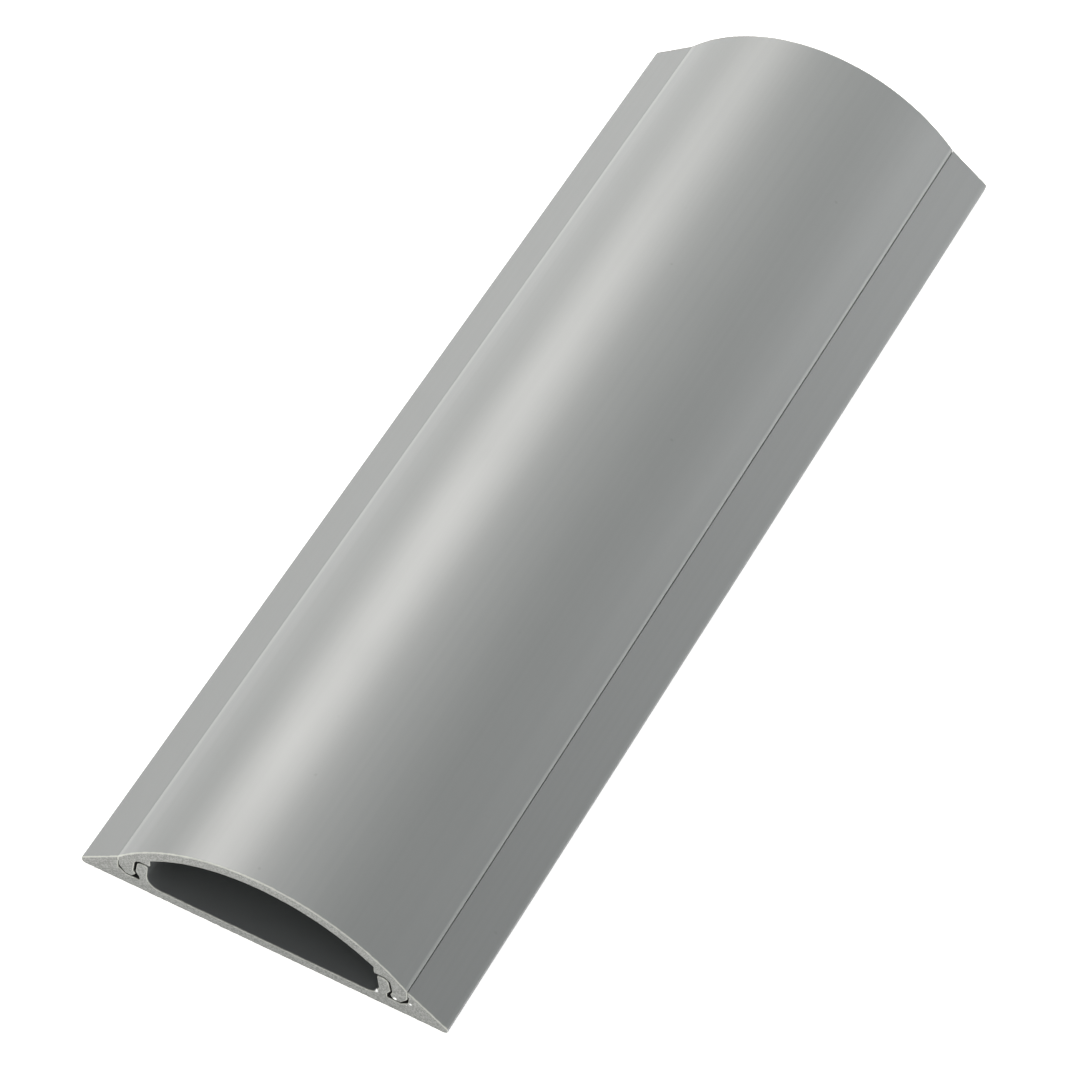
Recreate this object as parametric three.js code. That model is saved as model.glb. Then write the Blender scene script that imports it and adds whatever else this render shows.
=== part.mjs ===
// Floor cord cover in two extruded pieces: a flat base with a ramp along each edge and two
// upright rails, and a domed cover whose two legs drop between ramp and rail and snap there.
// Millimetres. X runs across the section, Y along the length, Z up from the floor.
import * as THREE from "three";

// Overall sizes.
const length = 212; // both pieces, sawn square at both ends
const width = 70; // over the noses of the two ramps
const crownHeight = 19.4; // floor to the top of the dome
const fitGap = 0.25; // play between a ramp and the cover
const snapGap = 0.35; // play between a rail and the cover, all round the rail's head

// Base: floor plate and ramps.
const floorThickness = 2.1;
const rampWidth = 7.3; // nose to seam
const noseHeight = 1.5; // blunt outer edge of a ramp
const noseRound = 0.5;
const heelRound = 0.4; // under the nose
const seamRound = 0.2; // top edge of a ramp, beside the cover

// Base: pocket between a ramp and its rail.
const pocketWidth = 3.45; // ramp to the rail's barb
const pocketLift = 0.5; // bottom of the pocket above the floor plate
const pocketSlopeWidth = 1.45; // sloping outer part of the pocket's bottom
const pocketSlopeRise = 1.1;
const rampFaceHeight = 3.3; // upright face of the ramp, from the slope to the seam
const pocketRound = 0.3;

// Base: rails on both sides of the cord channel.
const railThickness = 1.5; // neck, under the barb
const neckHeight = 1.1; // bottom of the pocket to the underside of the barb
const barbReach = 0.65; // how far the barb stands out from the neck
const barbRise = 1.1; // slope under the barb
const barbRound = 0.5;
const headTaper = 0.5; // lean of the head's outer face, from the barb up
const headLean = 0.35; // how far the head leans in over the channel
const headRound = 1.1; // outer top edge, over which the leg slides down
const headInnerRound = 0.5;
const channelRound = 2.4; // foot of the rail, inside the channel

// Cover: dome, and the shoulder under it that sits on the rail.
const coverWall = 2.15;
const coverEdgeRound = 0.25; // lower edge of the dome, at the seam
const shoulderDrop = 1.6; // inside of the dome to the underside of the shoulder
const shoulderOverhang = 0.55; // shoulder past the rail's head, over the channel
const shoulderRound = 0.3;

// Cover: legs.
const legGap = 0.35; // bottom of the pocket to the leg's end
const legEndWidth = 1.1;
const legChamferWidth = 1.25; // outer lower edge of the leg
const legChamferRise = 1.65;
const snapCatch = 0.15; // how far the leg's nose reaches in under the barb
const snapDrop = 0.8; // widest point of the barb down to the nose
const legRound = 0.25;

// Smoothness of the round stretches.
const arcStep = THREE.MathUtils.degToRad(12);
const domeSteps = 36; // crown to edge
const edgeShare = 0.98; // most of an edge that the rounds at its ends may take

// Places that both pieces share, on the right-hand side of the section.
const rampFaceX = width / 2 - rampWidth;
const barbX = rampFaceX - pocketWidth;
const neckX = barbX - barbReach;
const railInnerX = neckX - railThickness;
const headInnerX = railInnerX - headLean;
const pocketZ = floorThickness + pocketLift;
const slopeTopZ = pocketZ + pocketSlopeRise;
const seamZ = slopeTopZ + rampFaceHeight;
const neckTopZ = pocketZ + neckHeight;
const barbZ = neckTopZ + barbRise;

// The dome is one arc through the crown and both lower edges of the cover.
const coverX = rampFaceX - fitGap;
const domeRise = crownHeight - seamZ;
const domeRadius = (coverX ** 2 + domeRise ** 2) / (2 * domeRise);
const domeCentreZ = crownHeight - domeRadius;
const innerRadius = domeRadius - coverWall;

// The shoulder hangs under the dome, and the rail reaches up to it.
const shoulderX = headInnerX - shoulderOverhang;
const shoulderZ = domeCentreZ + Math.sqrt(innerRadius ** 2 - shoulderX ** 2) - shoulderDrop;
const railTopZ = shoulderZ - snapGap;

// A section is listed as [x, z, round] corners of its right half, from the centre line out and
// back to it. This one: underside, ramp, pocket, rail, channel.
const baseCorners = [
  [0, 0, 0],
  [width / 2, 0, heelRound],
  [width / 2, noseHeight, noseRound],
  [rampFaceX, seamZ, seamRound],
  [rampFaceX, slopeTopZ, pocketRound],
  [rampFaceX - pocketSlopeWidth, pocketZ, pocketRound],
  [neckX, pocketZ, pocketRound],
  [neckX, neckTopZ, pocketRound],
  [barbX, barbZ, barbRound],
  [barbX - headTaper, railTopZ, headRound],
  [headInnerX, railTopZ, headInnerRound],
  [railInnerX, barbZ, 0],
  [railInnerX, floorThickness, channelRound],
  [0, floorThickness, 0],
];

// Outside of the dome, leg from its outer face round to the recess that takes the barb,
// shoulder, inside of the dome.
const legEndZ = pocketZ + legGap;
const legEndX = coverX - legChamferWidth;
const coverCorners = [
  ...domeArc(coverX, domeRadius).slice(0, -1),
  [coverX, seamZ, coverEdgeRound],
  [coverX, legEndZ + legChamferRise, legRound],
  [legEndX, legEndZ, legRound],
  [legEndX - legEndWidth, legEndZ, legRound],
  [barbX - snapCatch, barbZ - snapDrop, legRound],
  [barbX + snapGap, barbZ, barbRound],
  [barbX + snapGap - headTaper, shoulderZ, headRound + snapGap],
  [shoulderX, shoulderZ, shoulderRound],
  ...domeArc(shoulderX, innerRadius).reverse(),
];

// Corners along an arc about the dome's axis, from the centre line out to x.
function domeArc(x, radius) {
  const wholeAngle = Math.asin(x / radius);
  return Array.from({ length: domeSteps + 1 }, (_, step) => {
    const angle = (wholeAngle * step) / domeSteps;
    return [radius * Math.sin(angle), domeCentreZ + radius * Math.cos(angle), 0];
  });
}

// Replaces a corner by the arc that touches both its edges. Where a wanted round is longer than
// an edge, it ends just short of a sharp neighbour, or of the middle if the neighbour is round too.
function roundCorner(before, corner, after) {
  const toBefore = before.point.clone().sub(corner.point);
  const toAfter = after.point.clone().sub(corner.point);
  const roomBefore = toBefore.length() * (before.round ? edgeShare / 2 : edgeShare);
  const roomAfter = toAfter.length() * (after.round ? edgeShare / 2 : edgeShare);
  toBefore.normalize();
  toAfter.normalize();
  const halfAngle = Math.acos(toBefore.dot(toAfter)) / 2;
  const reach = Math.min(corner.round / Math.tan(halfAngle), roomBefore, roomAfter);
  const start = corner.point.clone().addScaledVector(toBefore, reach);
  const inward = toBefore.clone().add(toAfter).normalize();
  const centre = corner.point.clone().addScaledVector(inward, reach / Math.cos(halfAngle));
  const turn = Math.sign(toAfter.cross(toBefore)) * (Math.PI - 2 * halfAngle);
  const steps = Math.ceil(Math.abs(turn) / arcStep);
  return Array.from({ length: steps + 1 }, (_, step) =>
    start.clone().rotateAround(centre, (turn * step) / steps),
  );
}

// Rounds the corners, mirrors the half to the left, and carries the section along the length.
function extrude(corners) {
  const rightHalf = corners
    .map(([x, z, round]) => ({ point: new THREE.Vector2(x, z), round }))
    .flatMap((corner, i, all) =>
      corner.round ? roundCorner(all[i - 1], corner, all[i + 1]) : [corner.point],
    );
  const leftHalf = rightHalf
    .filter((point) => point.x > 0)
    .map((point) => new THREE.Vector2(-point.x, point.y))
    .reverse();
  const section = new THREE.Shape([...rightHalf, ...leftHalf]);
  const solid = new THREE.ExtrudeGeometry(section, { depth: length, bevelEnabled: false });
  return solid.translate(0, 0, -length / 2).rotateX(Math.PI / 2);
}

const greyPvc = new THREE.MeshStandardMaterial({ color: 0xa0a3a2, roughness: 0.42, metalness: 0 });

const base = new THREE.Mesh(extrude(baseCorners), greyPvc);
base.name = "base";

const cover = new THREE.Mesh(extrude(coverCorners), greyPvc.clone());
cover.name = "snap_cover";
cover.material.color.set(0xa5a8a6); // a shade lighter than the base

const cordCover = new THREE.Group();
cordCover.add(base, cover);

export default cordCover;
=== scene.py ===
import math

import bpy
import numpy as np
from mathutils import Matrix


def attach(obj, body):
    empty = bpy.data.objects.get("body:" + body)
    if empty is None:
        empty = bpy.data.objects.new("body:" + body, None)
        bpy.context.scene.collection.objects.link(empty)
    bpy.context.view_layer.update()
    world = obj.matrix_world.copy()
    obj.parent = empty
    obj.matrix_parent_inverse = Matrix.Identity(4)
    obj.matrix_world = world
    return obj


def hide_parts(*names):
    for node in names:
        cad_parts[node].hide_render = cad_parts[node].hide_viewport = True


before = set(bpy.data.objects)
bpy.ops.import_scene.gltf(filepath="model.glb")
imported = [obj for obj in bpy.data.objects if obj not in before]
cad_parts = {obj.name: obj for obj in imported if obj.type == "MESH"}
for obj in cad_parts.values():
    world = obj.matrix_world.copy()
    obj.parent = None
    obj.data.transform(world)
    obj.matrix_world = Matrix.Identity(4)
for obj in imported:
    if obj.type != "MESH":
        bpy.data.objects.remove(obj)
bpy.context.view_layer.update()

# Floor cord cover: a flat base with a ramp along each edge and two barbed rails, and a domed
# cover that clips over the rails. Both are grey PVC, drawn through a die and sawn to length.
# Section corners are in millimetres, everything in Blender is in metres.
mm = 0.001

# Sizes that both pieces share, for the right-hand side of the section.
section = {
    "halfLength": 106.0,
    "halfWidth": 35.0,
    "noseZ": 1.3,  # blunt outer edge of a ramp
    "crownZ": 19.4,
    "domeFootZ": 7.0,  # where the dome's arc meets the outer face of the leg
    "seamX": 27.52,  # top of the ramp's upright face, close to the cover's edge
    "seamZ": 6.95,
    "legX": 27.45,  # outer face of the cover's leg
    "barbX": 24.25,  # widest point of the rail
    "barbZ": 4.8,
    "pocketZ": 2.6,
    "wall": 2.15,
    "shoulderX": 21.2,
    "shoulderDrop": 1.6,
    "snapGap": 0.45,  # play round the rail's head
    "headTaper": 0.5,  # lean of the head's outer face, from the barb up
    "headRound": 1.1,
}
domeRise = section["crownZ"] - section["domeFootZ"]
domeRadius = (section["legX"] ** 2 + domeRise ** 2) / (2 * domeRise)
domeCentreZ = section["crownZ"] - domeRadius
innerRadius = domeRadius - section["wall"]
underDomeZ = domeCentreZ + math.sqrt(innerRadius ** 2 - section["shoulderX"] ** 2)
shoulderZ = underDomeZ - section["shoulderDrop"]
railTopZ = shoulderZ - section["snapGap"]

# How finely the surfaces are laid out.
layout = {
    "cornerSteps": 10,  # on a rounded corner
    "domeSteps": 80,  # crown to edge
    "stripSteps": 8,  # over the strip beside the edge of the dome
    "pointGap": 0.5,  # between points on the flat stretches of the outline
    "pointClear": 0.15,  # least distance from those to the points of a corner
    "stationGap": 5.3,  # between outlines along the length
    "edgeSteps": 4,  # over a worn sawn edge
    "edgeShare": 0.98,  # most of a stretch that the rounds at its ends may take
    "sharpTurn": 0.05,  # radians from one step of the outline to the next
    "roomShare": 0.8,  # most of a round's radius that a worn edge may take
    "roomGain": 0.5,  # and how much more with each millimetre away from it
}


def domeArc(toX, radius):
    # Circle about the dome's axis: x = r sin a, z = centre + r cos a, for a from 0 to
    # asin(toX / r). The third column is each corner's round.
    angle = np.linspace(0, math.asin(toX / radius), layout["domeSteps"] + 1)
    x, z = radius * np.sin(angle), domeCentreZ + radius * np.cos(angle)
    return np.stack([x, z, 0 * angle], axis=1)


def roundedCorners(corners):
    # Each corner [x, z, round] gives way to the arc that touches both its edges: it starts at
    # round / tan(half the corner's angle) from the corner and turns about a centre on the bisector.
    place, wanted = corners[:, :2], corners[:, 2]
    toBefore = np.roll(place, 1, axis=0) - place
    toAfter = np.roll(place, -1, axis=0) - place
    lengthBefore = np.linalg.norm(toBefore, axis=1)
    lengthAfter = np.linalg.norm(toAfter, axis=1)
    toBefore /= lengthBefore[:, None]
    toAfter /= lengthAfter[:, None]
    share = layout["edgeShare"]
    roomBefore = lengthBefore * np.where(np.roll(wanted, 1) > 0, share / 2, share)
    roomAfter = lengthAfter * np.where(np.roll(wanted, -1) > 0, share / 2, share)
    cosine = np.clip((toBefore * toAfter).sum(axis=1), -0.999999, 1)  # at -1 it would divide by 0
    halfAngle = np.arccos(cosine) / 2
    reach = np.minimum(wanted / np.tan(halfAngle), np.minimum(roomBefore, roomAfter))
    start = place + toBefore * reach[:, None]
    bisector = toBefore + toAfter
    bisector /= np.linalg.norm(bisector, axis=1)[:, None] + 1e-12
    centre = place + bisector * (reach / np.cos(halfAngle))[:, None]
    side = np.sign(toAfter[:, 0] * toBefore[:, 1] - toAfter[:, 1] * toBefore[:, 0])
    whole = side * (math.pi - 2 * halfAngle)
    turn = whole[:, None] * np.linspace(0, 1, layout["cornerSteps"] + 1)
    arm = (start - centre)[:, None, :]
    arcs = centre[:, None, :] + np.stack([
        arm[..., 0] * np.cos(turn) - arm[..., 1] * np.sin(turn),
        arm[..., 0] * np.sin(turn) + arm[..., 1] * np.cos(turn),
    ], axis=2)
    isRound = (wanted > 0)[:, None]
    arcs = np.where(isRound[..., None], arcs, place[:, None, :])
    return arcs[isRound | (np.arange(layout["cornerSteps"] + 1) == 0)]


def closedOutline(corners):
    # The rounded right half and its mirror image, filled up by straight steps of about pointGap.
    # Also gives how far round each point is, from 0 to 1.
    listed = np.concatenate([np.atleast_2d(corner) for corner in corners]).astype(float)
    right = roundedCorners(listed)
    left = right[right[:, 0] > 1e-6][::-1] * [-1, 1]
    outline = np.concatenate([right, left, right[:1]])
    along = np.concatenate([[0], np.cumsum(np.linalg.norm(np.diff(outline, axis=0), axis=1))])
    fill = np.arange(0, along[-1], layout["pointGap"])
    clear = np.abs(fill[:, None] - along[None, :]).min(axis=1) > layout["pointClear"]
    stops = np.sort(np.concatenate([along[:-1], fill[clear]]))
    points = np.stack([np.interp(stops, along, outline[:, side]) for side in (0, 1)], axis=1)
    return points, stops / along[-1]


def outwardOf(outline):
    # At each point, the mean of the directions of its two edges, turned a quarter outwards.
    before = outline - np.roll(outline, 1, axis=0)
    after = np.roll(outline, -1, axis=0) - outline
    area = (outline[:, 0] * after[:, 1] - outline[:, 1] * after[:, 0]).sum()
    before /= np.linalg.norm(before, axis=1)[:, None]
    after /= np.linalg.norm(after, axis=1)[:, None]
    tangent = before + after
    tangent /= np.linalg.norm(tangent, axis=1)[:, None]
    return np.stack([tangent[:, 1], -tangent[:, 0]], axis=1) * np.sign(area)


def roomInside(outline):
    # How far each point may move inwards before a convex round closes up: the least, over all
    # sharp turns, of roomShare * radius (edge length / angle turned) + roomGain * distance.
    before = outline - np.roll(outline, 1, axis=0)
    after = np.roll(outline, -1, axis=0) - outline
    across = before[:, 0] * after[:, 1] - before[:, 1] * after[:, 0]
    turned = np.arctan2(across, (before * after).sum(axis=1))
    turned *= np.sign((outline[:, 0] * after[:, 1] - outline[:, 1] * after[:, 0]).sum())
    sharp = np.nonzero(turned > layout["sharpTurn"])[0]
    edge = np.minimum(np.linalg.norm(before[sharp], axis=1), np.linalg.norm(after[sharp], axis=1))
    away = np.linalg.norm(outline[:, None] - outline[None, sharp], axis=2)
    return (layout["roomShare"] * edge / turned[sharp] + layout["roomGain"] * away).min(axis=1)


def ripple(turns, seed, fewest, most):
    # Closed noise round the outline: the sum of strength cos(2 pi waves u + phase), for every
    # whole number of waves from fewest to just under most, with seeded strengths and phases.
    dice = np.random.default_rng(seed)
    waves = np.arange(fewest, most)
    strength = dice.normal(size=waves.size) / math.sqrt(waves.size / 2)
    phase = dice.uniform(0, 2 * math.pi, waves.size)
    return (strength * np.cos(2 * math.pi * turns[:, None] * waves + phase)).sum(axis=1)


def sawnEnd(outline, turns, look, seed, curls):
    # Across a worn edge of radius r(u), for a from 0 on the face to a quarter turn on the skin:
    # depth = r (1 - cos a), standing out by burr sin a - r (1 - sin a). Past it the burr dies
    # away as exp(-(d / reach)^2). A curl adds height exp(-(distance / size)^2) to the burr.
    worn = 1 + look["edgeVaries"] * ripple(turns, seed, *look["edgeWaves"])
    worn = look["edgeRound"] * np.clip(worn, *look["edgeLimits"])
    worn = np.minimum(worn, roomInside(outline))
    burr = ripple(turns, seed + look["burrSeed"], *look["burrWaves"])
    burr = look["burr"] * np.clip(burr, *look["burrLimits"]) ** 2
    for x, z, size, height in curls:
        away = np.linalg.norm(outline - (x, z), axis=1)
        burr = burr + height * np.exp(-(away / size) ** 2)
    angle = np.linspace(0, math.pi / 2, layout["edgeSteps"] + 1)
    past = look["burrReach"] * np.array(look["burrStops"])
    depth = np.concatenate([worn[:, None] * (1 - np.cos(angle)), worn[:, None] + past], axis=1)
    outward = np.concatenate([
        burr[:, None] * np.sin(angle) - worn[:, None] * (1 - np.sin(angle)),
        burr[:, None] * np.exp(-(past / look["burrReach"]) ** 2),
    ], axis=1)
    return depth, outward


def drawnPiece(name, corners, look):
    # The outline P(u) is carried along Y and stands out along its own normals by s(u, y): the
    # sawn edges at both ends, and between them the slow swell of a piece that cooled unevenly,
    # cos(3 u + y) cos(0.4 y + 1) + 0.6 cos(5 u - 1.7 y), times 1 - (y / half)^12 near the ends.
    outline, turns = closedOutline(corners)
    normal = outwardOf(outline)
    outline = outline + [look["sitsAside"], 0]
    half = section["halfLength"]
    nearDepth, nearOut = sawnEnd(outline, turns, look, look["seed"], look["curls"])
    farDepth, farOut = sawnEnd(outline, turns, look, look["seed"] + 1, [])
    stations = np.linspace(-half, half, int(2 * half / layout["stationGap"]) + 1)[1:-1]
    wave = 2 * math.pi * stations / look["swellLength"]
    lap = 2 * math.pi * turns[:, None]
    swell = np.cos(3 * lap + wave) * np.cos(0.4 * wave + 1) + 0.6 * np.cos(5 * lap - 1.7 * wave)
    swell = look["swell"] * swell * (1 - (stations / half) ** 12)
    y = np.concatenate([
        nearDepth - half,
        np.broadcast_to(stations, (len(outline), len(stations))),
        half - farDepth[:, ::-1],
    ], axis=1)
    outward = np.concatenate([nearOut, swell, farOut[:, ::-1]], axis=1)
    x = outline[:, :1] + normal[:, :1] * outward
    z = outline[:, 1:] + normal[:, 1:] * outward
    points = np.stack([x, y, np.maximum(z, 0)], axis=2) * mm  # nothing goes under the floor
    return closedShell(name, points)


def closedShell(name, points):
    # Quads over the whole grid [round, along], joined round the outline, and one face at each end.
    # The sign of the area inside the outline tells which way round they face outwards.
    number = np.arange(points.shape[0] * points.shape[1]).reshape(points.shape[:2])
    beside = np.roll(number, -1, axis=0)
    quads = np.stack([number[:, :-1], number[:, 1:], beside[:, 1:], beside[:, :-1]], axis=2)
    quads, nearFace, farFace = quads.reshape(-1, 4), number[:, 0], number[::-1, -1]
    ring = points[:, points.shape[1] // 2]
    area = (ring[:, 0] * np.roll(ring[:, 2], -1) - ring[:, 2] * np.roll(ring[:, 0], -1)).sum()
    if area < 0:
        quads, nearFace, farFace = quads[:, ::-1], nearFace[::-1], farFace[::-1]
    faces = quads.tolist() + [nearFace.tolist(), farFace.tolist()]
    mesh = bpy.data.meshes.new(name)
    mesh.from_pydata(points.reshape(-1, 3), [], faces)
    smooth = np.ones(len(mesh.polygons), bool)
    smooth[-2:] = False  # the two sawn faces
    mesh.polygons.foreach_set("use_smooth", smooth)
    mesh.update()
    piece = bpy.data.objects.new(name, mesh)
    bpy.context.collection.objects.link(piece)
    print(name, "laid out with", len(mesh.vertices), "points and", len(mesh.polygons), "faces")
    return piece


class Wire:
    # One socket in a material. Maths with it adds Math nodes, whichever side of the sign it is on.
    def __init__(self, finish, socket):
        self.finish = finish
        self.socket = socket

    def maths(self, operation, first, second):
        return self.finish.node("ShaderNodeMath", {"operation": operation}, {0: first, 1: second})

    def __add__(self, other):
        return self.maths("ADD", self, other)

    def __radd__(self, other):
        return self.maths("ADD", other, self)

    def __sub__(self, other):
        return self.maths("SUBTRACT", self, other)

    def __rsub__(self, other):
        return self.maths("SUBTRACT", other, self)

    def __mul__(self, other):
        return self.maths("MULTIPLY", self, other)

    def __rmul__(self, other):
        return self.maths("MULTIPLY", other, self)

    def __pow__(self, other):
        return self.maths("POWER", self, other)

    def __abs__(self):
        return self.maths("ABSOLUTE", self, 0)


class Finish:
    # A material in the making. One method adds any node, the others are short words for it.
    def __init__(self, name):
        self.material = bpy.data.materials.new(name)
        self.material.use_nodes = True
        self.tree = self.material.node_tree
        self.tree.nodes.clear()

    def node(self, kind, settings, sockets, out=0):
        made = self.tree.nodes.new(kind)
        for setting, value in settings.items():
            setattr(made, setting, value)
        for key, value in sockets.items():
            if isinstance(value, Wire):
                self.tree.links.new(value.socket, made.inputs[key])
            else:
                made.inputs[key].default_value = value
        return Wire(self, made.outputs[out]) if made.outputs else made

    def place(self):
        return self.node("ShaderNodeTexCoord", {}, {}, "Object")

    def axis(self, letter):
        return self.node("ShaderNodeSeparateXYZ", {}, {0: self.place()}, letter)

    def stretched(self, scale, turn=0.0):
        sockets = {"Vector": self.place(), "Rotation": (0, 0, turn), "Scale": scale}
        return self.node("ShaderNodeMapping", {}, sockets)

    def noise(self, scale, detail, turn=0.0):
        sockets = {"Vector": self.stretched(scale, turn), "Scale": 1, "Detail": detail}
        return self.node("ShaderNodeTexNoise", {}, sockets, "Fac")

    def cells(self, scale, out):
        sockets = {"Vector": self.stretched(scale), "Scale": 1}
        return self.node("ShaderNodeTexVoronoi", {"voronoi_dimensions": "2D"}, sockets, out)

    def fade(self, value, span, unit=1):
        sockets = {"Value": value, "From Min": span[0] * unit, "From Max": span[1] * unit}
        return self.node("ShaderNodeMapRange", {"interpolation_type": "SMOOTHSTEP"}, sockets)

    def either(self, one, other):
        return one.maths("MAXIMUM", one, other)

    def blend(self, factor, one, other):
        return self.node("ShaderNodeMix", {"data_type": "RGBA"}, {0: factor, 6: one, 7: other}, 2)

    def painted(self, sockets):
        shader = self.node("ShaderNodeBsdfPrincipled", {}, sockets)
        self.node("ShaderNodeOutputMaterial", {}, {"Surface": shader})
        return self.material


def greyPvc(name, look):
    # Satin grey PVC. The skin has faint die lines along the length, slow clouds, a fine grain, a
    # few specks and hairline scuffs. Its inner surfaces are darkened with painted shade, darkest in
    # the mouths of the joints near the ends, and pale lines are painted along some edges, which along
    # the cover's seams are painted highlights. Where the saw went through it is rougher and mottled,
    # with saw marks in wide arcs, and the plastic is stressed pale along the edges of the cut, with
    # white flakes here and there. Masks run from 0 to 1, and each blends its colour over those
    # before it.
    finish = Finish(name)
    x, y, z = finish.axis("X"), finish.axis("Y"), finish.axis("Z")
    toNear = section["halfLength"] * mm + y
    toEnd = section["halfLength"] * mm - abs(y)
    underSkin = look["underSkin"](abs(x), z)  # metres below the outer skin, seen on a sawn face

    # The skin.
    dieLines = finish.noise(*look["dieNoise"])
    fineLines = finish.noise(*look["fineNoise"])
    clouds = finish.noise(*look["cloudNoise"])
    grain = finish.noise(*look["grainNoise"])
    scuffs = finish.fade(finish.noise(*look["scuffNoise"], look["scuffTurn"]), look["scuffFade"])
    speckAway = finish.cells(look["speckCells"], "Distance")
    speckDice = finish.cells(look["speckCells"], "Color")
    speckDice = finish.node("ShaderNodeSeparateXYZ", {}, {0: speckDice})
    specks = 1 - finish.fade(speckAway, look["speckSize"])
    specks = specks * finish.fade(speckDice, look["speckChance"])

    # The cut, mottled all over and with saw arcs.
    onCut = 1 - finish.fade(toEnd, look["cutDepth"], mm)
    onSkin = 1 - onCut
    mottle = finish.noise(*look["mottleNoise"])
    sawX, sawZ = look["sawCentre"]
    sawAway = ((x - sawX * mm) ** 2 + (z - sawZ * mm) ** 2) ** 0.5
    sawPhase = sawAway * (2 * math.pi / (look["sawPitch"] * mm)) + mottle * look["sawWander"]
    sawArcs = finish.node("ShaderNodeMath", {"operation": "SINE"}, {0: sawPhase})

    # Pale rims where the saw broke out of the edges, painted shade inside, and darker painted shade
    # in the joints.
    uneven = finish.noise(*look["unevenNoise"])
    skinRim = 1 - finish.fade(toEnd + uneven * (look["rimUneven"] * mm), look["skinRim"], mm)
    cutRim = 1 - finish.fade(underSkin + uneven * (look["rimUneven"] * mm), look["cutRim"], mm)
    pale = finish.either(onSkin * skinRim, onCut * cutRim)
    # Painted shade on the inner surfaces, deep under the outer skin and above the floor.
    inside = finish.fade(underSkin, look["insideUnder"], mm) * finish.fade(z, look["insideAbove"], mm)
    inside = onSkin * inside
    # Painted shade in the mouths of the joints, within a few millimetres of the sawn ends.
    jointShade = inside * finish.fade(abs(x), look["jointShadeFromX"], mm)
    jointShade = jointShade * (1 - finish.fade(toEnd, look["jointShadeReach"], mm))

    lines = finish.fade(dieLines, look["dieFade"]) * look["dieLines"]
    cutShade = finish.fade(mottle + sawArcs * look["sawShade"], look["cutFade"])
    tone = finish.blend(clouds * look["clouds"], look["tone"], look["toneCloud"])
    tone = finish.blend(lines, tone, look["lineTone"])
    tone = finish.blend(specks * look["specks"], tone, look["speckTone"])
    # Painted shade inside, then darker painted shade in the mouths of the joints.
    tone = finish.blend(inside, tone, look["insideShadeTone"])
    tone = finish.blend(jointShade, tone, look["jointShadeTone"])
    tone = finish.blend(onCut, tone, finish.blend(cutShade, look["cutDark"], look["cutLight"]))
    ragged = uneven * (look["paleLineUneven"] * mm)
    # Pale lines along edges: along the cover's seams they are painted highlights.
    for fromX, toX, strength in look["paleLines"]:
        paleLine = onSkin * finish.fade(x + ragged, (fromX, toX), mm) * strength
        tone = finish.blend(paleLine, tone, look["paleLineTone"])
    tone = finish.blend(pale * look["paleness"], tone, look["paleTone"])
    for flakeX, flakeZ, size in look["flakes"]:
        away = ((x - flakeX * mm) ** 2 + (z - flakeZ * mm) ** 2 + toNear ** 2) ** 0.5
        flake = 1 - finish.fade(away + ragged, look["flakeFade"], size * mm)
        tone = finish.blend(flake, tone, look["flakeTone"])

    gloss = (clouds - 0.5) * look["cloudGloss"] + (fineLines - 0.5) * look["fineGloss"]
    gloss = gloss + scuffs * look["scuffGloss"] + pale * look["paleGloss"]
    roughness = look["roughness"] + gloss + onCut * (look["cutRoughness"] - look["roughness"])

    skinRelief = dieLines * look["dieRelief"] + fineLines * look["fineRelief"]
    skinRelief = skinRelief + grain * look["grainRelief"] - scuffs * look["scuffRelief"]
    cutRelief = mottle * look["mottleRelief"] + sawArcs * look["sawRelief"]
    height = (skinRelief + onCut * cutRelief) * (0.001 * mm)
    bump = finish.node("ShaderNodeBump", {}, {"Strength": 1.0, "Distance": 1.0, "Height": height})

    return finish.painted({
        "Base Color": tone, "Roughness": roughness, "Normal": bump,
        "IOR": look["refraction"], "Specular IOR Level": look["sheen"],
    })


def putOn(piece, material, body, node):
    # Paints a piece, ties it to the body it rides on, and hides the CAD node that it stands for.
    piece.data.materials.append(material)
    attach(piece, body)
    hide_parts(node)
    print(piece.name, "painted with", material.name)


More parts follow.
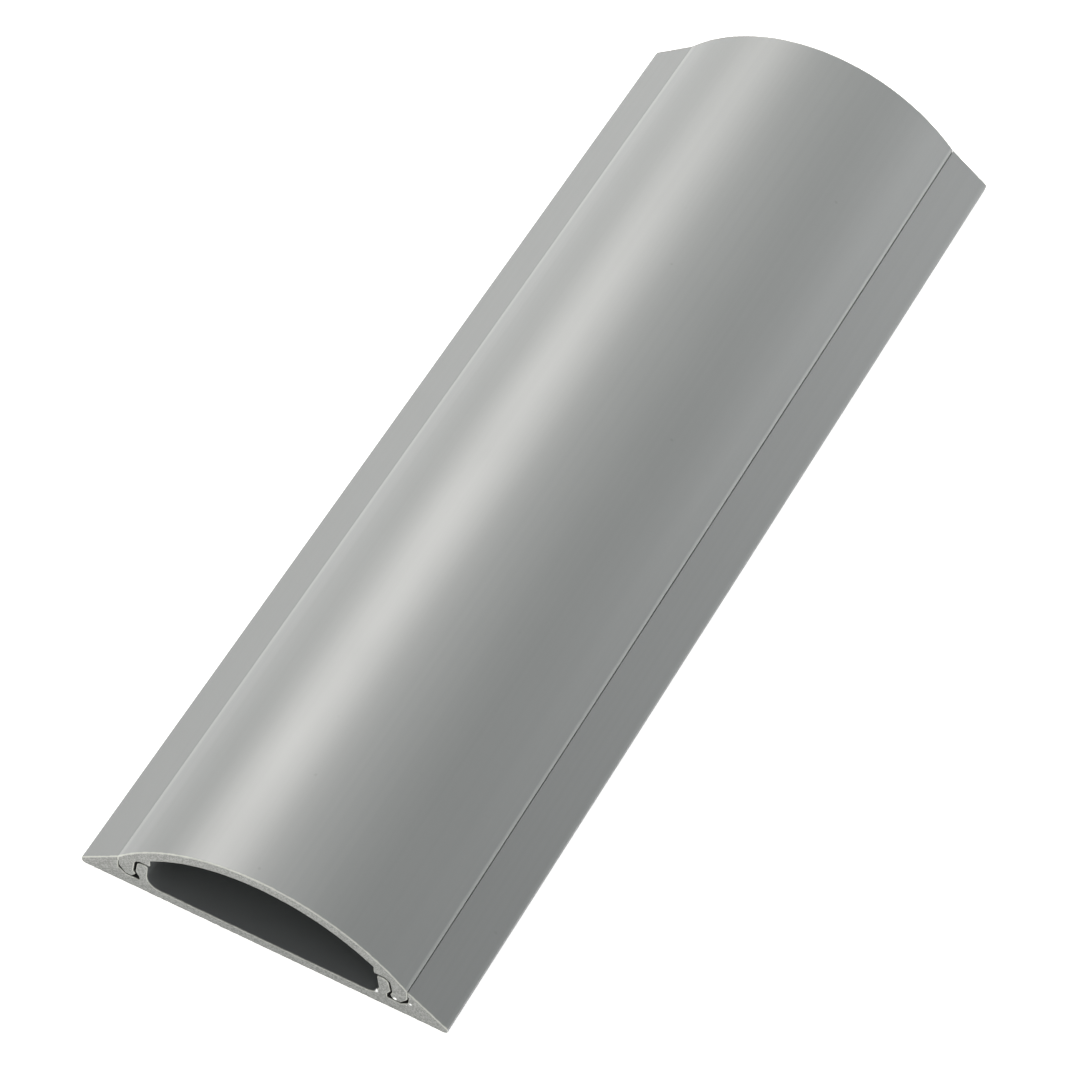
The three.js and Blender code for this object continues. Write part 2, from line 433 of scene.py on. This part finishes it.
# What the two pieces have in common: how they were sawn and how the plastic looks. A noise has
# its cells per metre across, along and up, then its detail. A mask has the two values that it
# changes between, in millimetres unless they are shades of a noise. Relief is in thousandths of
# a millimetre.
pvc = {
    "edgeRound": 0.16,  # worn sawn edge
    "edgeVaries": 0.2,
    "edgeWaves": (9, 150),  # of its unevenness, in one lap of the outline
    "edgeLimits": (0.4, 1.7),  # least and most of edgeRound
    "burr": 0.012,
    "burrSeed": 50,  # added to the piece's own
    "burrWaves": (12, 240),
    "burrLimits": (0, 1.5),
    "burrReach": 0.25,  # along the skin
    "burrStops": (0.5, 1.0, 1.6, 2.6),  # rings past the edge, in burrReach
    "swell": 0.006,
    "swellLength": 67.0,
    "dieNoise": ((1100, 3, 1100), 3),
    "dieFade": (0.35, 0.75),
    "dieLines": 0.35,
    "dieRelief": 3.0,
    "fineNoise": ((4200, 11, 4200), 2),
    "fineGloss": 0.06,
    "fineRelief": 0.8,
    "cloudNoise": ((38, 22, 38), 4),
    "clouds": 0.9,
    "cloudGloss": 0.10,
    "grainNoise": ((3000, 3000, 3000), 2),
    "grainRelief": 1.2,
    "scuffNoise": ((2600, 55, 2600), 3),
    "scuffFade": (0.70, 0.80),
    "scuffGloss": 0.12,
    "scuffRelief": 1.5,
    "speckCells": (55, 55, 0),
    "speckSize": (0.008, 0.02),  # in cells
    "speckChance": (0.55, 0.95),
    "specks": 0.4,
    "speckTone": (0.16, 0.165, 0.16, 1),
    "insideUnder": (1.2, 1.8),  # below the outer skin
    "insideAbove": (0.5, 1.0),  # above the floor
    "insideShadeTone": (0.170, 0.179, 0.180, 1),  # painted shade, darker than the outside
    # Painted shade in the mouths of the joints near the sawn ends.
    "jointShadeFromX": (22.2, 22.5),  # from the rails out
    "jointShadeReach": (0.8, 2.5),  # into the joints
    "jointShadeTone": (0.045, 0.046, 0.044, 1),
    # Pale lines: painted highlights along the cover's seams, and pale lines along the base's noses.
    "paleLineTone": (0.45, 0.465, 0.455, 1),
    "cutDepth": (0.003, 0.015),  # how near to an end counts as cut
    "mottleNoise": ((3600, 3600, 3600), 4),
    "mottleRelief": 40,
    "sawCentre": (40.0, -90.0),  # x, z
    "sawPitch": 0.42,  # between the arcs
    "sawWander": 5,  # how far the mottling pushes them about, in radians
    "sawShade": 0.06,
    "sawRelief": 6,
    "cutFade": (0.32, 0.68),
    "cutDark": (0.148, 0.151, 0.142, 1),
    "cutLight": (0.290, 0.295, 0.277, 1),
    "cutRoughness": 0.62,
    "skinRim": (0.18, 0.42),  # pale on the skin, from the cut
    "cutRim": (0.16, 0.36),  # pale on the cut, from the skin
    "unevenNoise": ((900, 300, 900), 3),
    "rimUneven": 0.25,
    "paleLineUneven": 0.2,  # of the pale lines and the flakes
    "paleness": 0.85,
    "paleTone": (0.60, 0.61, 0.55, 1),
    "paleGloss": 0.1,
    "flakeFade": (0.7, 1.3),  # in sizes of the flake
    "flakeTone": (0.93, 0.93, 0.91, 1),
    "sheen": 0.5,
    "refraction": 1.54,
}


def underRamp(x, z):
    # Depth below a ramp's slope: (nose x - x) sin(slope) + (nose z - z) cos(slope).
    slope = math.atan2(section["seamZ"] - section["noseZ"], section["halfWidth"] - section["seamX"])
    fromNose = section["halfWidth"] * mm - x
    return fromNose * math.sin(slope) + (section["noseZ"] * mm - z) * math.cos(slope)


def underDome(x, z):
    # Depth below the dome: its radius less the distance from its axis.
    return domeRadius * mm - (x ** 2 + (z - domeCentreZ * mm) ** 2) ** 0.5


# Base, from the middle of the underside out, up the ramp, through the pocket, over the rail and
# back along the channel. Its colours are a shade darker than the cover's.
base = {
    **pvc,
    "seed": 4,
    "sitsAside": 0.0,
    "floorTopZ": 2.1,
    "faceX": 27.7,  # lower part of the ramp's upright face, where the joint is wider
    "faceTopDrop": 1.1,  # from the seam down to where the face steps back
    "faceDrop": 1.6,
    "slopeWidth": 1.45,  # sloping outer part of the pocket's bottom
    "slopeRise": 1.1,
    "barbReach": 0.65,  # neck to barb
    "neckHeight": 1.1,
    "railThickness": 1.5,
    "headLean": 0.35,  # in over the channel
    "curls": [[21.65, 3.4, 0.40, 0.35], [27.65, 3.9, 0.32, 0.12]],  # x, z, size, height
    "flakes": [[21.5, 3.2, 0.55], [28.05, 3.85, 0.34], [27.3, 3.0, 0.18]],  # x, z, size
    "paleLines": [[34.4, 34.9, 0.12], [-34.4, -34.9, 0.12]],  # along the noses: from x, to x, strength
    "underSkin": underRamp,
    "tone": (0.206, 0.216, 0.214, 1),
    "toneCloud": (0.222, 0.233, 0.231, 1),
    "lineTone": (0.195, 0.205, 0.203, 1),
    "scuffTurn": 0.5,
    "roughness": 0.45,
}
nose, seamX, seamZ = section["halfWidth"], section["seamX"], section["seamZ"]
barbX, barbZ, pocketZ = section["barbX"], section["barbZ"], section["pocketZ"]
faceX, neckX = base["faceX"], barbX - base["barbReach"]
railX = neckX - base["railThickness"]
baseCorners = [
    [0, 0, 0],
    [nose, 0, 0.6],
    [nose, section["noseZ"], 0.35],
    [seamX, seamZ, 0.05],
    [seamX, seamZ - base["faceTopDrop"], 0.3],
    [faceX, seamZ - base["faceDrop"], 0.3],
    [faceX, pocketZ + base["slopeRise"], 0.3],
    [faceX - base["slopeWidth"], pocketZ, 0.3],
    [neckX, pocketZ, 0.3],
    [neckX, pocketZ + base["neckHeight"], 0.3],
    [barbX, barbZ, 0.5],
    [barbX - section["headTaper"], railTopZ, section["headRound"]],
    [railX - base["headLean"], railTopZ, 0.5],
    [railX, barbZ, 0],
    [railX, base["floorTopZ"], 2.4],
    [0, base["floorTopZ"], 0],
]
basePiece = drawnPiece("ramped_base", baseCorners, base)
putOn(basePiece, greyPvc("basePvc", base), "base", "base")

# Cover: the dome's arc, a flatter strip over the leg, such as a thick root leaves as it cools, the
# leg round to the recess for the barb, the shoulder, and the inside of the dome.
cover = {
    **pvc,
    "seed": 21,
    "sitsAside": -0.05,  # the play is taken up on the left
    "edgeZ": 7.07,  # lower edge of the dome, a touch proud of the ramp
    "legRootX": 24.1,
    "rootRidge": 0.03,  # low ridge where the strip over the leg begins
    "ridgeReach": 0.9,
    "stripCrown": 0.04,  # how far the strip bulges
    "legGap": 0.35,  # bottom of the pocket to the leg's end
    "legEndWidth": 1.1,
    "legChamferWidth": 1.25,
    "legChamferRise": 1.65,
    "noseAside": 0.05,  # nose of the leg, this far outside the widest point of the barb
    "noseDrop": 0.9,
    "curls": [[24.75, 3.3, 0.42, 0.22], [9.2, 18.2, 0.2, 0.05]],
    "flakes": [[25.15, 3.4, 0.42]],
    "paleLines": [[26.95, 27.3, 0.42], [-26.3, -27.0, 0.20]],  # painted highlights along the seams
    "underSkin": underDome,
    "tone": (0.224, 0.235, 0.232, 1),
    "toneCloud": (0.242, 0.253, 0.250, 1),
    "lineTone": (0.213, 0.224, 0.221, 1),
    "scuffTurn": -0.35,
    "roughness": 0.44,
}
legX, edgeZ, rootX = section["legX"], cover["edgeZ"], cover["legRootX"]
legEndZ, legEndX = pocketZ + cover["legGap"], legX - cover["legChamferWidth"]
recessX = barbX + section["snapGap"]
domeTop = domeArc(rootX, domeRadius)
domeTop[:, 1] += cover["rootRidge"] * np.exp(-((domeTop[:, 0] - rootX) / cover["ridgeReach"]) ** 2)
rootZ = domeTop[-1, 1]
share = np.linspace(0, 1, layout["stripSteps"] + 1)[1:-1]
stripZ = rootZ + (edgeZ - rootZ) * share + 4 * cover["stripCrown"] * share * (1 - share)
coverCorners = [
    domeTop,
    np.stack([rootX + (legX - rootX) * share, stripZ, 0 * share], axis=1),
    [legX, edgeZ, 0.12],
    [legX, legEndZ + cover["legChamferRise"], 0.25],
    [legEndX, legEndZ, 0.25],
    [legEndX - cover["legEndWidth"], legEndZ, 0.25],
    [barbX + cover["noseAside"], barbZ - cover["noseDrop"], 0.3],
    [recessX, barbZ, 0.5],
    [recessX - section["headTaper"], shoulderZ, section["headRound"] + section["snapGap"]],
    [section["shoulderX"], shoulderZ, 0.3],
    domeArc(section["shoulderX"], innerRadius)[::-1],
]
coverPiece = drawnPiece("domed_cover", coverCorners, cover)
putOn(coverPiece, greyPvc("coverPvc", cover), "cover", "snap_cover")

# Studio: a pale sheet that glows a little, like a light table, and four soft boxes. A box's compass
# angle counts from the far end towards +X, and its height angle from the floor, in degrees.
studio = {
    "floorHalf": 2.2,
    "floorPoints": 9,  # along each side
    "floorDrop": 0.00005,  # keeps it clear of the underside
    "floorTone": (0.93, 0.93, 0.93, 1),
    "floorGlow": 0.75,
    "worldTone": (0.75, 0.75, 0.75, 1),  # as pale as the floor far off
    "keyBox": {
        "compass": 303.8, "height": 37.8, "away": 1.47,
        "size": (0.634, 0.775), "power": 22.9, "tone": (1, 0.975, 0.95),
    },
    "backStrip": {
        "compass": 25.2, "height": 16.6, "away": 0.788,
        "size": (0.972, 0.20), "power": 4.15, "tone": (1, 1, 1),
    },
    "frontStrip": {
        "compass": 180.0, "height": 2.6, "away": 1.2,
        "size": (0.8, 0.10), "power": 6.3, "tone": (1, 1, 1),
    },
    "topBox": {
        "compass": 162.4, "height": 85.0, "away": 0.755,
        "size": (0.413, 1.299), "power": 3.70, "tone": (1, 1, 1),
    },
}


def paleFloor():
    # A flat grid between -half and +half, at z = -floorDrop.
    steps = np.linspace(-studio["floorHalf"], studio["floorHalf"], studio["floorPoints"])
    x, y = np.meshgrid(steps, steps, indexing="ij")
    points = np.stack([x, y, 0 * x - studio["floorDrop"]], axis=2).reshape(-1, 3)
    number = np.arange(x.size).reshape(x.shape)
    corners = [number[:-1, :-1], number[1:, :-1], number[1:, 1:], number[:-1, 1:]]
    mesh = bpy.data.meshes.new("floor")
    mesh.from_pydata(points, [], np.stack(corners, axis=2).reshape(-1, 4).tolist())
    floor = bpy.data.objects.new("floor", mesh)
    bpy.context.collection.objects.link(floor)
    paint = Finish("palePaint")
    mesh.materials.append(paint.painted({
        "Base Color": studio["floorTone"], "Roughness": 0.9,
        "Emission Color": studio["floorTone"], "Emission Strength": studio["floorGlow"],
    }))


def softbox(name, look):
    # A flat rectangular light at distance * (cos h sin c, cos h cos c, sin h) for the compass
    # angle c and the height angle h, turned to face the middle of the cord cover.
    light = bpy.data.lights.new(name, "AREA")
    light.shape = "RECTANGLE"
    light.size, light.size_y = look["size"]
    light.energy = look["power"]
    light.color = look["tone"]
    lamp = bpy.data.objects.new(name, light)
    bpy.context.collection.objects.link(lamp)
    compass, height = math.radians(look["compass"]), math.radians(look["height"])
    east, north = math.cos(height) * math.sin(compass), math.cos(height) * math.cos(compass)
    lamp.location = np.array([east, north, math.sin(height)]) * look["away"]
    lamp.rotation_euler = (math.pi / 2 - height, 0, math.pi - compass)
    lamp.visible_camera = False


paleFloor()
for name in ("keyBox", "backStrip", "frontStrip", "topBox"):
    softbox(name, studio[name])
world = bpy.data.worlds.new("studio")
world.use_nodes = True
bpy.context.scene.world = world
world.node_tree.nodes["Background"].inputs["Color"].default_value = studio["worldTone"]
world.cycles_visibility.diffuse = False  # a pale surround that gives no light of its own
world.cycles_visibility.glossy = False
bpy.context.scene.view_settings.view_transform = "Standard"
print("studio is lit")

# Camera where the photograph was taken from, found from the part's long edges and sawn ends.
view = {
    "place": (0.217715, -0.452153, 0.645923),
    "turn": (37.4404, -1.3930, 28.0263),
    "lens": 154.207,
    "sensor": 36,
    "clipStart": 0.01,
}
lens = bpy.data.cameras.new("camera")
lens.lens = view["lens"]
lens.sensor_width = view["sensor"]
lens.clip_start = view["clipStart"]
camera = bpy.data.objects.new("camera", lens)
bpy.context.collection.objects.link(camera)
camera.location = view["place"]
camera.rotation_euler = [math.radians(angle) for angle in view["turn"]]
bpy.context.scene.camera = camera
print("camera is placed")
